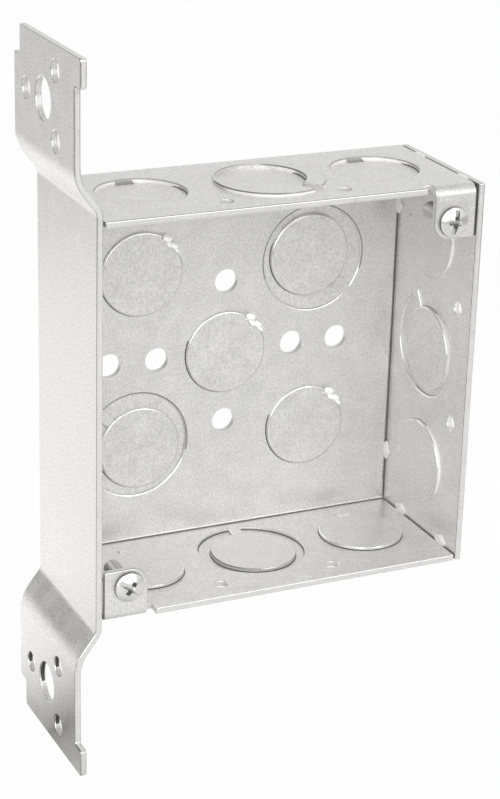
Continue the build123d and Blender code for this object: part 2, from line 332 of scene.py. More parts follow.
# Painted shade, lighter: rims and tie pits of the top singles
PIT_SHADE = zinc("pit_shade", 0.50, 0.15, 0.60, (0.35, 0.45), 0.4 * MM, 0.010 * MM)
# Painted shade: seam strips, inside folds, and the screw heads' side walls and recesses
SEAM_SHADE = zinc("seam_shade", 0.20, 0.20, 0.50, (0.45, 0.55), 0.6 * MM, 0.005 * MM)
# Weld metal and burrs, made near-white partly as a painted highlight
WELD_METAL_AND_GLINT = zinc("weld_metal_and_glint", 0.95, 0.04, 0.2, (0.25, 0.35), 0.5 * MM, 0.02 * MM)
# Painted shade: the thread's grey stands in for the shade between its ridges
THREAD_SHADE = zinc("thread_shade", 0.55, 0.10, 0.90, (0.34, 0.44), 0.5 * MM, 0.004 * MM)
SCREW_ZINC = zinc("zinc_screw", 0.90, 0.05, 1.0, (0.22, 0.30), 0.5 * MM, 0.002 * MM)

# Places of the materials in a sheet's list, and in a screw's
FINISH_SLOT, CUT_SLOT, EDGE_SLOT, SEAM_SLOT, TORN_SHADE_SLOT, DARK_SLOT, BRIGHT_SLOT, PIT_SLOT = range(8)
HEAD_SLOT, HEAD_SHADE_SLOT, THREAD_SLOT = range(3)


def place_mesh(name, bm, materials):
    """An object made from a bmesh, smooth where its faces turn gently."""
    for face in bm.faces:
        face.smooth = True
    for edge in bm.edges:
        edge.smooth = edge.calc_face_angle(0) < SHARP_ANGLE
    mesh = bpy.data.meshes.new(name)
    bm.to_mesh(mesh)
    bm.free()
    for made in materials:
        mesh.materials.append(made)
    piece = bpy.data.objects.new(name, mesh)
    bpy.context.scene.collection.objects.link(piece)
    return piece


def finish_piece(piece, body):
    """Face-weighted normals, and the body a piece belongs to."""
    weighted = piece.modifiers.new("face_normals", "WEIGHTED_NORMAL")
    weighted.weight = NORMAL_WEIGHT
    weighted.keep_sharp = True
    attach(piece, body)


def mark_cut_faces(bm):
    """Gives the cut material to faces with more metal behind them than the sheet is thick."""
    tree = BVHTree.FromBMesh(bm)
    for face in bm.faces:
        inward = -face.normal
        hit = tree.ray_cast(face.calc_center_median() + inward * RAY_START, inward)
        face.material_index = CUT_SLOT if hit[3] is None or hit[3] > CUT_DEPTH else FINISH_SLOT


def shade_seams(bm, inside, facing):
    """Paints shade on the strips of an end wall that lie across a seam from the wrap's cut edges, and beside
    an ear.
    """
    sheet = SHEET / MM
    cuts = [((0, BACK - sheet, 0), (0, 1, 0)), ((0, FRONT + sheet, 0), (0, 1, 0)),
            ((0, 0, -facing * EAR_END), (0, 0, 1))]
    for side in (-1, 1):
        cuts.append(((0, 0, side * (HALF_HEIGHT - sheet)), (0, 0, side)))
    for place, normal in cuts:
        bmesh.ops.bisect_plane(bm, geom=bm.verts[:] + bm.edges[:] + bm.faces[:], plane_co=Vector(place) * MM,
                               plane_no=normal, dist=MERGE_DISTANCE)
    for face in bm.faces:
        centre = face.calc_center_median() / MM
        across_wrap = HALF_HEIGHT - sheet < abs(centre.z) < HALF_HEIGHT and centre.y < BACK
        behind_wrap = BACK - sheet < centre.y and abs(centre.z) < HALF_HEIGHT
        beside_ear = centre.y < FRONT + sheet and EAR_END < -facing * centre.z < HALF_HEIGHT
        on_face = abs(centre.x - inside) < ON_FACE and face.normal.x * facing > SQUARE
        if on_face and (across_wrap or behind_wrap or beside_ear):
            face.material_index = SEAM_SLOT


def shade_holes(bm):
    """Paints shade on the walls of the lower tab's holes, all but the parts that face up, in the torn feet's
    material.
    """
    for face in bm.faces:
        centre = face.calc_center_median() / MM
        torn = face.normal.z < HOLE_FLOOR and abs(face.normal.x) < PARTLY
        for across, up, radius in STUD_HOLES:
            if torn and math.hypot(centre.y - across, centre.z + STUD_HOLE_UP + up) < radius + SLACK:
                face.material_index = TORN_SHADE_SLOT


def shade_folds(bm):
    """Paints shade on the half of each inside back fold that lies along the top or bottom wall."""
    for face in bm.faces:
        centre = face.calc_center_median() / MM
        side = 1 if centre.z > 0 else -1
        in_fold = centre.y > BACK - FOLD_REACH and abs(centre.z) > HALF_HEIGHT - FOLD_REACH
        faces_in = face.normal.y < -BARELY and -side * face.normal.z > FOLD_MIDDLE
        if in_fold and faces_in and abs(face.normal.x) < BARELY:
            face.material_index = SEAM_SLOT


def on_tie(edge):
    """Whether an edge bounds the top of a staked tie, where the stake left no round."""
    inner = SHEET / MM + TIE_RISE
    for vert in edge.verts:
        x, y, z = vert.co / MM
        heights = (y - BACK + inner, abs(z) - HALF_HEIGHT + inner, x - PLATE_INNER + TIE_RISE)
        if min(abs(height) for height in heights) > ON_TIE:
            return False
    return True


def on_step(edge):
    """Whether an edge is the rim of a half-sheared step, which has a torn foot darkened with painted shade.
    """
    walls = [face for face in edge.link_faces if face.material_index == CUT_SLOT]
    around = [other for wall in walls for side in wall.edges for other in side.link_faces]
    return any(other.material_index == TORN_SHADE_SLOT for other in around)


def on_narrow_ring(edge):
    """Whether an edge bounds the narrow part of the top double's ring, which has no room for a round."""
    for vert in edge.verts:
        x, y, z = vert.co / MM
        arm = Vector((x - MIDDLE, y - FRONT - ROW_SETBACK))
        in_band = NARROW_BAND[0] < arm.length < NARROW_BAND[1]
        if z < HALF_HEIGHT - WALL_REACH or not in_band or arm.normalized().dot(NARROW_RING) < HALFWAY:
            return False
    return True


def smooth_runs(edges):
    """The edges of a set that join others of it without a sharp turn at either end."""
    meeting = {}
    for edge in edges:
        for vert in edge.verts:
            meeting.setdefault(vert, []).append(edge)
    kept = set(edges)
    for vert, joined in meeting.items():
        arms = [(edge.other_vert(vert).co - vert.co).normalized() for edge in joined]
        if len(arms) != 2 or arms[0].angle(-arms[1]) > TURN_LIMIT:
            kept.difference_update(joined)
    return [edge for edge in edges if edge in kept]


def step_feet(bm):
    """Feet of half-sheared steps that get painted shade, but not where a step faces the light or along a
    tongue.
    """
    feet = []
    for edge in bm.edges:
        if not edge.is_manifold or edge.calc_face_angle_signed() > -SHARP_ANGLE:
            continue
        sides = sorted(edge.link_faces, key=lambda face: face.material_index)
        if [face.material_index for face in sides] != [FINISH_SLOT, CUT_SLOT]:
            continue
        wall = sides[1]
        start, run = edge.verts[0].co, (edge.verts[1].co - edge.verts[0].co).normalized()
        height = max((vert.co - start - run * (vert.co - start).dot(run)).length for vert in wall.verts)
        faces_up = sides[0].normal.y < -MOSTLY and wall.normal.z > FOOT_LEAN
        on_top_or_plate = sides[0].normal.z > MOSTLY and start.z > 0 or sides[0].normal.x < -MOSTLY
        faces_front = on_top_or_plate and wall.normal.y < -PARTLY
        if height > LEAST_STEP and not faces_up and not faces_front and not on_tongue(edge):
            feet.append(edge)
    return feet


def on_tongue(edge):
    """Whether an edge runs along a tongue that joins a disc of the back or the bottom to its wall."""
    x, y, z = (edge.verts[0].co + edge.verts[1].co) / (2 * MM)
    spots = []
    if y > BACK - WALL_REACH:
        for (across, up), (ring_across, ring_up) in zip(BACK_DOUBLES, BACK_RINGS):
            lead = Vector((ring_across - across, ring_up - up))
            spots.append((Vector((x - MIDDLE - across, z - up)), lead))
    if z < WALL_REACH - HALF_HEIGHT:
        arm = Vector((x - MIDDLE - BOTTOM_SHIFT, y - FRONT - ROW_SETBACK))
        spots.append((arm, Vector(BOTTOM_RING)))
    for arm, lead in spots:
        lead = lead.normalized()
        if abs(arm.dot(lead) - TONGUE_MIDDLE) < TONGUE_REACH and abs(arm.cross(lead)) < TONGUE_SIDE:
            return True
    return False


def on_inner_seam(edge):
    """Whether an edge is an inside corner line of the wrap along the seam to the side plate."""
    for vert in edge.verts:
        x, y, z = vert.co / MM
        if abs(x - PLATE_INNER + SEAM) > ON_LINE or abs(z) > HALF_HEIGHT - SKIN or y > BACK - SKIN:
            return False
    return True


def shade_inside_knockouts(bm):
    """Paints a highlight on the plate's steps that face the front, and gives the bottom double its own rims:
    the plain finish on the ring's, and painted shade where the disc's face left.
    """
    row = FRONT + ROW_SETBACK
    for face in bm.faces:
        x, y, z = face.calc_center_median() / MM
        in_plate_row = x > PLATE_INNER - HOLE_REACH and FRONT + WALL_REACH < y < BACK - WALL_REACH
        if in_plate_row and face.material_index == CUT_SLOT and face.normal.y < -PARTLY:
            face.material_index = BRIGHT_SLOT
        if z > ROW_REACH - HALF_HEIGHT or face.normal.z < -PARTLY or face.material_index != EDGE_SLOT:
            continue
        disc = Vector((x - MIDDLE - BOTTOM_SHIFT, y - row))
        if abs((disc - Vector(BOTTOM_RING)).length - RING_RADIUS) < RIM_BAND:
            face.material_index = FINISH_SLOT
        elif abs(disc.length - SLUG_RADIUS) < RIM_BAND and face.normal.x < -RIM_LEAN:
            face.material_index = DARK_SLOT


def shade_top_knockouts(bm):
    """Paints shade on the rims and tie pits of the top knockouts, darker near the double, and a highlight on
    their steps that face the front.
    """
    row = FRONT + ROW_SETBACK
    circles = [(MIDDLE + side * ROW_PITCH, row, SLUG_RADIUS) for side in (-1, 0, 1)]
    circles.append((MIDDLE + TOP_RING[0], row + TOP_RING[1], RING_RADIUS))
    for face in bm.faces:
        x, y, z = face.calc_center_median() / MM
        if z < HALF_HEIGHT - SHEET / MM + SLACK or face.normal.z < -PARTLY:
            continue
        if not any(abs(math.hypot(x - cx, y - cy) - radius) < TIE_DEPTH for cx, cy, radius in circles):
            continue
        from_middle = math.hypot(x - MIDDLE, y - row)
        from_single = min(abs(x - MIDDLE - side * ROW_PITCH) for side in (-1, 1))
        in_pit = y > row + PIT_SETBACK and from_single < TIE_WIDTH / 2 + SLACK and z < HALF_HEIGHT - PIT_DEPTH
        if face.material_index == EDGE_SLOT or in_pit:
            face.material_index = DARK_SLOT if from_middle < ROW_PITCH / 2 else PIT_SLOT
        elif face.material_index == CUT_SLOT and face.normal.y < -STEP_LEAN:
            face.material_index = BRIGHT_SLOT


def roll_over_rims(bm):
    """Gives the knockout rims of the back a shallow rolled-over border on their inside face, with painted
    shade on the ring borders that face down.
    """
    for centres, radius, push in ROLLED_RIMS:
        depth = BACK * MM - SHEET - push * MM
        tops = [face for face in bm.faces if face.normal.y < -SQUARE
                and abs(face.calc_center_median().y - depth) < ON_LEVEL * MM]
        border = bmesh.ops.inset_region(bm, faces=tops, use_boundary=True, use_even_offset=True,
                                        thickness=ROLLOVER_WIDTH)
        rims = set()
        for face in border["faces"]:
            for vert in face.verts:
                arms = [math.hypot(vert.co.x / MM - MIDDLE - x, vert.co.z / MM - z) for x, z in centres]
                if min(abs(arm - radius) for arm in arms) < ON_LINE:
                    rims.add(vert)
        for vert in rims:
            vert.co.y += ROLLOVER_DROP
        for face in border["faces"]:
            face.normal_update()
            # Ring borders that face down take painted shade; the rest take the eased-edge finish
            if sum(vert in rims for vert in face.verts) == 2:
                face.material_index = DARK_SLOT if push == 0 and face.normal.z < BARELY else EDGE_SLOT


def on_punched_hole(edge):
    """Whether an edge runs round a screw hole of the back, which the punch left sharp."""
    for across, up in BACK_HOLES:
        spots = [(vert.co.x / MM - MIDDLE - across, vert.co.z / MM - up, vert.co.y / MM)
                 for vert in edge.verts]
        if all(math.hypot(x, z) < BACK_HOLE_RADIUS + SLACK and y > BACK - HOLE_REACH for x, z, y in spots):
            return True
    return False


def flat_run(seed):
    """The faces in one plane with a seed face, joined to it edge by edge and of its material, in order."""
    run, front = {seed: True}, [seed]
    while front:
        for edge in front.pop().edges:
            for face in edge.link_faces:
                same_plane = face.normal.dot(seed.normal) > SAME_PLANE
                if same_plane and face.material_index == seed.material_index and face not in run:
                    run[face] = True
                    front.append(face)
    return run


def within(triangle, sides):
    """Whether a triangle lies inside an outline of straight sides, by the count of sides right of it."""
    across, along = (sum(corner[i] for corner in triangle) / 3 for i in (0, 1))
    crossed = 0
    for (x0, y0), (x1, y1) in sides:
        if (y0 > along) != (y1 > along):
            crossed += x0 + (along - y0) / (y1 - y0) * (x1 - x0) > across
    return crossed % 2 == 1


def close_cracks(bm):
    """Splits open edges where the corner of another lies on them, joins what meets and fills the rest."""
    loose = [edge for edge in bm.edges if len(edge.link_faces) == 1]
    tips = list(dict.fromkeys(vert for edge in loose for vert in edge.verts))
    joined = {}
    for edge in loose:
        start, end = edge.verts
        along = end.co - start.co
        if along.length < CRACK_WIDTH:
            continue
        stops = []
        for tip in tips:
            share = (tip.co - start.co).dot(along) / along.length_squared
            apart = (start.co + along * share - tip.co).length
            if tip not in (start, end) and 0 < share < 1 and apart < CRACK_WIDTH:
                stops.append((share, tip))
        done = 0
        for share, tip in sorted(stops, key=lambda stop: stop[0]):
            start = bmesh.utils.edge_split(edge, start, (share - done) / (1 - done))[1]
            joined[start] = tip
            done = share
    bmesh.ops.weld_verts(bm, targetmap=joined)
    bmesh.ops.holes_fill(bm, edges=[edge for edge in bm.edges if edge.is_boundary], sides=0)


def lay_flats_anew(bm):
    """Lays each flat run of faces that overlaps itself anew from its outline, in triangles."""
    bm.normal_update()
    overlapping = []
    for loops in bm.calc_loop_triangles():
        first, second, third = (loop.vert.co for loop in loops)
        area = (second - first).cross(third - first)
        if area.dot(loops[0].face.normal) < -LEAST_OVERLAP:
            overlapping.append(loops[0].face)
    for seed in overlapping:
        if not seed.is_valid:
            continue
        run = flat_run(seed)
        normal, material = seed.normal.copy(), seed.material_index
        across = normal.orthogonal().normalized()
        along = normal.cross(across)
        edges = dict.fromkeys(edge for face in run for edge in face.edges)
        inner = [edge for edge in edges if all(face in run for face in edge.link_faces)]
        outline = [edge for edge in edges if any(face not in run for face in edge.link_faces)]
        corners = list(dict.fromkeys(vert for edge in outline for vert in edge.verts))
        places = {vert: i for i, vert in enumerate(corners)}
        flat = [Vector((vert.co.dot(across), vert.co.dot(along))) / MM for vert in corners]
        pairs = [tuple(places[vert] for vert in edge.verts) for edge in outline]
        laying = delaunay_2d_cdt(flat, pairs, [], INSIDE_OUTLINE, MEETING_POINTS)
        spots, _, triangles, sources, _, _ = laying
        sides = [(flat[i], flat[j]) for i, j in pairs]
        kept = [face for face in triangles if within([spots[i] for i in face], sides)]
        bmesh.ops.delete(bm, geom=list(run), context="FACES_ONLY")
        bmesh.ops.delete(bm, geom=inner, context="EDGES")
        level = normal * normal.dot(corners[0].co)
        placed = []
        for spot, source in zip(spots, sources):
            new = (across * spot.x + along * spot.y) * MM + level
            placed.append(corners[source[0]] if source else bm.verts.new(new))
        for triangle in kept:
            laid = [placed[i] for i in triangle]
            if len(set(laid)) == len(laid) and not bm.faces.get(laid):
                bm.faces.new(laid).material_index = material
    close_cracks(bm)


def ease(bm, edges, size, steps, slot):
    """Puts a round of a size, in so many facets, in place of each edge."""
    bmesh.ops.bevel(bm, geom=edges, offset=size, offset_type="OFFSET", affect="EDGES", segments=steps,
                    profile=ROUND_PROFILE, clamp_overlap=False, loop_slide=True, material=slot)


def eased_sheet(node, name, finish, cut, seam=None):
    """A sheet node with its corners eased and its cut faces told apart from the rolled ones."""
    bm = bmesh.new()
    bm.from_mesh(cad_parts[node].data)
    bmesh.ops.remove_doubles(bm, verts=bm.verts, dist=MERGE_DISTANCE)
    mark_cut_faces(bm)
    if seam:
        shade_seams(bm, *seam)
    else:
        shade_folds(bm)
    if cut == CUT_STRAP:
        shade_holes(bm)
    bmesh.ops.dissolve_limit(bm, angle_limit=FLAT_ANGLE, verts=bm.verts, edges=bm.edges, delimit={"MATERIAL"})
    if not seam:
        roll_over_rims(bm)
    crack = PLATE_CRACK if seam == PLATE_SEAM else SHEAR_CRACK
    # Torn feet of the steps, in the near-black material of painted shade
    ease(bm, step_feet(bm), crack, 1, TORN_SHADE_SLOT)
    for steps, size in ((ROUND_STEPS, SLUG_ROUND), (EDGE_STEPS, EDGE_EASE), (NARROW_STEPS, NARROW_EASE)):
        sharp = [edge for edge in bm.edges if edge.is_manifold and edge.calc_face_angle_signed() > SHARP_ANGLE
                 and not on_punched_hole(edge) and not on_tie(edge) and not on_inner_seam(edge)
                 and on_narrow_ring(edge) == (size == NARROW_EASE)]
        if size == SLUG_ROUND:
            sharp = smooth_runs([edge for edge in sharp if on_step(edge)])
        ease(bm, sharp, size, steps, EDGE_SLOT)
    # Painted shade: along the front lips, the round's strip next to the rolled face goes dark
    for face in bm.faces:
        on_lip = face.calc_center_median().y < (FRONT + LIP_DEPTH) * MM and face.normal.y > -HALFWAY
        if on_lip and face.material_index == EDGE_SLOT:
            face.material_index = DARK_SLOT
    lay_flats_anew(bm)
    bmesh.ops.dissolve_degenerate(bm, dist=CRACK_WIDTH, edges=bm.edges)
    bmesh.ops.delete(bm, geom=[edge for edge in bm.edges if edge.is_wire], context="EDGES")
    shade_inside_knockouts(bm)
    if not seam:
        shade_top_knockouts(bm)
    materials = (finish, cut, EDGE_ZINC, SEAM_SHADE, SHEAR_SHADE, EDGE_SHADE, LIT_SHEAR, PIT_SHADE)
    piece = place_mesh(name, bm, materials)
    finish_piece(piece, "box")
    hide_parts(node)


eased_sheet("box_wrap", "wrap_sheet", GALVANIZED, CUT_STEEL)
eased_sheet("side_plate", "plate_sheet", GALVANIZED, CUT_STEEL, PLATE_SEAM)
eased_sheet("stud_bracket", "bracket_sheet", STRAP_ZINC, CUT_STRAP, STRAP_SEAM)


# Welds, in millimetres
LUMP_STEPS = 3                  # subdivisions of each lump
BEAD_DROPS = ((-1.25, 0.82), (0.1, 1.0), (1.3, 0.74))   # step along the seam, and size
BEAD_SIZE = (1.5, 0.75, 0.34)
BEAD_WAVES = (4.1, 3.7, 4.6)
BEAD_SHIFT = 1.3
BEAD_RIPPLE = 0.07
BEAD_SINK = 0.2
# Lumps of a nugget: step along the seam, rise into the box, and size
NUGGET_LUMPS = ((-1.5, 0.2, 0.8), (-0.3, 0.5, 1.25), (0.9, -0.1, 1.05), (1.9, 0.3, 0.7))
NUGGET_SIZE = (0.55, 1.2)       # off the plate, and along it
NUGGET_WAVES = (5.1, 4.3)
NUGGET_RIPPLE = 0.06
NUGGET_OFF_PLATE = 0.1
NUGGET_OFF_WALL = 0.5
NUGGET_OFF_BACK = 0.3
BACK_NUGGET_SHIFT = 0.2         # further off the plate at the back


def weld_bead(bm, centre, along, across, normal):
    """One lumpy bead of fused metal over a seam, from three overlapping flattened drops."""
    turn = Matrix((along, across, normal)).transposed().to_4x4()
    wave_x, wave_y, wave_z = BEAD_WAVES
    for step, size in BEAD_DROPS:
        length, width, height = (size * side for side in BEAD_SIZE)
        spot = Matrix.Translation(centre + along * step) @ turn @ Matrix.Diagonal((length, width, height, 1))
        drop = bmesh.ops.create_icosphere(bm, subdivisions=LUMP_STEPS, radius=1, matrix=spot)
        for vert in drop["verts"]:
            x, y, z = vert.co
            ripple = math.sin(wave_x * x + BEAD_SHIFT * step) * math.sin(wave_y * y) * math.sin(wave_z * z)
            vert.co += normal * BEAD_RIPPLE * ripple


def weld_nugget(bm, centre, along, inward):
    """A spattered nugget of fused metal in the inside corner of a seam, from overlapping lumps."""
    wave_y, wave_z = NUGGET_WAVES
    for step, rise, size in NUGGET_LUMPS:
        spot = centre + along * step + inward * rise
        thick, wide = (size * side for side in NUGGET_SIZE)
        lump = Matrix.Translation(spot) @ Matrix.Diagonal((thick, wide, wide, 1))
        drop = bmesh.ops.create_icosphere(bm, subdivisions=LUMP_STEPS, radius=1, matrix=lump)
        for vert in drop["verts"]:
            ripple = math.sin(wave_y * vert.co.y + step) * math.sin(wave_z * vert.co.z)
            vert.co.x += NUGGET_RIPPLE * ripple


def weld_beads():
    """Beads outside at each weld of the two seams, and nuggets inside along the side plate."""
    bm = bmesh.new()
    out_x, out_y, out_z = Vector((1, 0, 0)), Vector((0, 1, 0)), Vector((0, 0, 1))
    inner_back = BACK - SHEET / MM
    inner_wall = HALF_HEIGHT - SHEET / MM
    corner = PLATE_INNER - NUGGET_OFF_PLATE
    for side in (-1, 1):
        bead_up, nugget_up = side * (HALF_HEIGHT - BEAD_SINK), side * (inner_wall - NUGGET_OFF_WALL)
        for seam in (STRAP_INNER + SEAM / 2, PLATE_INNER - SEAM / 2):
            for setback in WELD_SETBACKS:
                weld_bead(bm, Vector((seam, FRONT + setback, bead_up)), out_y, out_x, out_z)
            weld_bead(bm, Vector((seam, BACK - BEAD_SINK, side * WELD_HEIGHT)), out_z, out_x, out_y)
        for setback in WELD_SETBACKS:
            weld_nugget(bm, Vector((corner, FRONT + setback, nugget_up)), out_y, -side * out_z)
        behind = Vector((corner - BACK_NUGGET_SHIFT, inner_back - NUGGET_OFF_BACK, side * WELD_HEIGHT))
        weld_nugget(bm, behind, out_z, -out_y)
    bmesh.ops.scale(bm, vec=(MM, MM, MM), verts=bm.verts)
    piece = place_mesh("weld_beads", bm, (WELD_METAL_AND_GLINT,))
    finish_piece(piece, "box")


weld_beads()


def tie_burrs():
    """Torn flakes that the stake leaves along the ties of the back's single slugs, bright as fresh metal and
    whiter still as a painted highlight.
    """
    bm = bmesh.new()
    outward, tangent = Vector((1, 0, 1)).normalized(), Vector((1, 0, -1)).normalized()
    depth = BACK - SHEET / MM - TIE_RISE - FLAKE_RISE
    for across, up in BACK_SINGLES:
        rim = Vector((MIDDLE + across, depth, up)) + outward * (SLUG_RADIUS - FLAKE_INSET)
        for step, shift, length, width in TIE_FLAKES:
            along = tangent + outward * shift
            along = (along - FLAKE_FACING * along.dot(FLAKE_FACING)).normalized()
            turn = Matrix((along, FLAKE_FACING.cross(along), FLAKE_FACING)).transposed().to_4x4()
            flake = Matrix.Diagonal((length, width, FLAKE_THICKNESS, 1))
            spot = Matrix.Translation(rim + tangent * step + outward * shift) @ turn @ flake
            bmesh.ops.create_icosphere(bm, subdivisions=LUMP_STEPS, radius=1, matrix=spot)
    bmesh.ops.scale(bm, vec=(MM, MM, MM), verts=bm.verts)
    piece = place_mesh("tie_burrs", bm, (WELD_METAL_AND_GLINT,))
    finish_piece(piece, "box")


tie_burrs()


# Cover screws


def spun(bm, profile, steps):
    """A closed solid turned about the local Z axis from (radius, height) points that start and end on it."""
    angles = [2 * math.pi * i / steps for i in range(steps)]
    rings = []
    for radius, height in profile:
        if radius == 0:
            rings.append([bm.verts.new((0, 0, height))])
        else:
            rings.append([bm.verts.new((radius * math.cos(angle), radius * math.sin(angle), height))
                          for angle in angles])
    for low, high in zip(rings, rings[1:]):
        for i in range(steps):
            j = (i + 1) % steps
            corners = [low[i % len(low)], low[j % len(low)], high[j % len(high)], high[i % len(high)]]
            bm.faces.new(list(dict.fromkeys(corners)))


def head_profile():
    """Edge view of the domed head with an eased rim."""
    crown = HEAD_HEIGHT - CROWN_RADIUS
    edge = crown + math.sqrt(CROWN_RADIUS ** 2 - HEAD_RADIUS ** 2)
    points = [(0, 0), (HEAD_RADIUS - HEAD_EASE, 0), (HEAD_RADIUS, HEAD_EASE), (HEAD_RADIUS, edge - HEAD_EASE)]
    for i in range(CROWN_STEPS + 1):
        radius = (HEAD_RADIUS - HEAD_EASE / 2) * (1 - i / CROWN_STEPS)
        points.append((radius, crown + math.sqrt(CROWN_RADIUS ** 2 - radius ** 2)))
    return points


def tapered_bar(bm, span, width, depth, taper, turn):
    """A bar sunk in the head's crown, shorter and narrower at its floor."""
    top, floor = HEAD_HEIGHT + BAR_RISE, HEAD_HEIGHT - depth
    corners = []
    for height, scale in ((top, 1.0), (floor, taper)):
        for sx, sy in ((-1, -1), (1, -1), (1, 1), (-1, 1)):
            spot = Vector((sx * span / 2 * scale, sy * width / 2 * (0.5 + scale / 2), height))
            corners.append(bm.verts.new(Matrix.Rotation(turn, 3, "Z") @ spot))
    for ring in ((3, 2, 1, 0), (4, 5, 6, 7), (0, 1, 5, 4), (1, 2, 6, 5), (2, 3, 7, 6), (3, 0, 4, 7)):
        bm.faces.new([corners[i] for i in ring])
    bmesh.ops.recalc_face_normals(bm, faces=bm.faces)


def cut_away(piece, bars):
    """The mesh of a piece after bars are cut out of it, one by one."""
    cutters = []
    for span, width, depth, taper, turn in bars:
        bm = bmesh.new()
        tapered_bar(bm, span, width, depth, taper, turn)
        cutter = place_mesh("driver_bit", bm, ())
        cut = piece.modifiers.new("recess", "BOOLEAN")
        cut.operation = "DIFFERENCE"
        cut.solver = "EXACT"
        cut.object = cutter
        cutters.append(cutter)
    shown = piece.evaluated_get(bpy.context.evaluated_depsgraph_get())
    mesh = bpy.data.meshes.new_from_object(shown)
    piece.modifiers.clear()
    for spare in cutters:
        bpy.data.objects.remove(spare)
    return mesh


def threaded_shank(bm):
    """A helical ridge wound round the shank, fading into a chamfered tip."""
    rows = round(THREAD_LENGTH / THREAD_PITCH * THREAD_ROWS)
    ridge_height = THREAD_RADIUS - THREAD_ROOT
    rings = []
    for row in range(rows + 1):
        depth = THREAD_LENGTH * row / rows
        fade = min(1.0, (THREAD_LENGTH - depth) / TIP_FADE)
        ring = []
        for i in range(THREAD_SIDES):
            angle = 2 * math.pi * i / THREAD_SIDES
            phase = (depth / THREAD_PITCH - angle / (2 * math.pi)) % 1.0
            ridge = min(1.0, RIDGE_GAIN * (1 - abs(2 * phase - 1)))
            radius = THREAD_ROOT - TIP_TAPER * (1 - fade) + ridge_height * fade * ridge
            ring.append(bm.verts.new((radius * math.cos(angle), radius * math.sin(angle), -depth)))
        rings.append(ring)
    for high, low in zip(rings, rings[1:]):
        for i in range(THREAD_SIDES):
            j = (i + 1) % THREAD_SIDES
            bm.faces.new((low[i], low[j], high[j], high[i]))
    bm.faces.new(rings[0])
    bm.faces.new(reversed(rings[-1]))


def cover_screw(node, name, body, side, slot_angle):
    """A domed screw with a combined slot and cross recess, threaded, in place of its plain solid."""
    bm = bmesh.new()
    spun(bm, head_profile(), HEAD_SIDES)
    head = place_mesh("blank_head", bm, ())
    recess = [(SLOT_REACH * HEAD_RADIUS, SLOT_WIDTH, SLOT_DEPTH, 1.0, slot_angle)]
    for turn in (slot_angle, slot_angle + math.pi / 2):
        recess.append((CROSS_SPAN, CROSS_WIDTH, CROSS_DEPTH, CROSS_TAPER, turn))
    cut_head = cut_away(head, recess)
    bpy.data.objects.remove(head)
    bm = bmesh.new()
    bm.from_mesh(cut_head)
    bpy.data.meshes.remove(cut_head)
    # Painted shade: the head's side wall near its foot and the steep walls of the recess take a dark material
    for face in bm.faces:
        centre = face.calc_center_median()
        side_wall = centre.xy.length > HEAD_RADIUS - HEAD_EASE and centre.z < RIM_SHADE
        below_crown = RECESS_SKIN < centre.z < HEAD_HEIGHT - RECESS_SKIN
        recess_wall = below_crown and abs(face.normal.z) < RECESS_LEAN
        face.material_index = HEAD_SHADE_SLOT if side_wall or recess_wall else HEAD_SLOT
    head_faces = set(bm.faces)
    threaded_shank(bm)
    for face in bm.faces:
        if face not in head_faces:
            face.material_index = THREAD_SLOT
    seat = Vector((MIDDLE + side * SCREW_ACROSS, FRONT - HEAD_GAP, side * SCREW_UP)) * MM
    facing = Matrix(((1, 0, 0), (0, 0, -1), (0, 1, 0))).to_4x4()
    placing = Matrix.Translation(seat) @ facing @ Matrix.Scale(MM, 4)
    bmesh.ops.transform(bm, matrix=placing, verts=bm.verts)
    piece = place_mesh(name, bm, (SCREW_ZINC, SEAM_SHADE, THREAD_SHADE))
    finish_piece(piece, body)
    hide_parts(node)


cover_screw("upper_cover_screw", "upper_screw_detail", "upper_screw", 1, UPPER_SLOT_ANGLE)
cover_screw("lower_cover_screw", "lower_screw_detail", "lower_screw", -1, LOWER_SLOT_ANGLE)

# Studio

FLOOR_DROP = 0.3 * MM
FLOOR_REACH = 4.0
FLOOR_GLOW = 0.95               # share of the floor that is plain white to the camera
REACH_END = 0.5
# Brightness the floor glows with for mirror rays, by distance in shares of the reach's end: a painted
# reflection, dim near the object as a painted shadow
FLOOR_REACHES = ((0.0, 0.20), (0.03, 0.42), (0.09, 0.92), (0.17, 1.02), (0.30, 0.97), (0.5, 0.97),
                 (0.74, 1.02), (0.86, 0.74), (0.94, 0.55))
ROOM_LEVEL = 0.75
# Brightness of what the metal mirrors, by direction in turns: 0 and 1 are left, 0.25 front, 0.5 right and
# 0.75 behind
# The floor's glow for mirror rays, by direction: a painted reflection
FLOOR_AROUND = ((0.0, 0.45), (0.07, 0.7), (0.13, 0.85), (0.18, 0.85), (0.25, 0.80), (0.32, 0.76), (0.5, 0.8),
                (0.66, 1.15), (0.77, 1.15), (0.86, 1.12), (0.92, 0.25), (1.0, 0.45))
ROOM_AROUND = ((0.0, 1.0), (0.05, 1.4), (0.14, 1.4), (0.18, 3.8), (0.22, 1.1), (0.26, 1.1), (0.295, 1.8),
               (0.34, 1.8), (0.38, 0.8), (0.5, 0.75), (0.68, 0.86), (0.76, 0.75), (0.825, 0.2), (0.9, 0.4),
               (1.0, 1.0))
# Share of the zenith's level, by height
ROOM_RISE = ((0.55, 0.0), (0.85, 1.0))
ZENITH = 0.45
PAPER_GRAIN = 40 * MM
PAPER_TONES = ((NOISE_LOW, (0.88, 0.88, 0.88)), (NOISE_HIGH, (0.90, 0.90, 0.90)))


def light_paths(nodes):
    """Shares of a light path that come straight from the camera and from a reflection."""
    path = nodes.add("LightPath").outputs
    return path["Is Camera Ray"], nodes.larger(path["Is Glossy Ray"], path["Is Transmission Ray"])


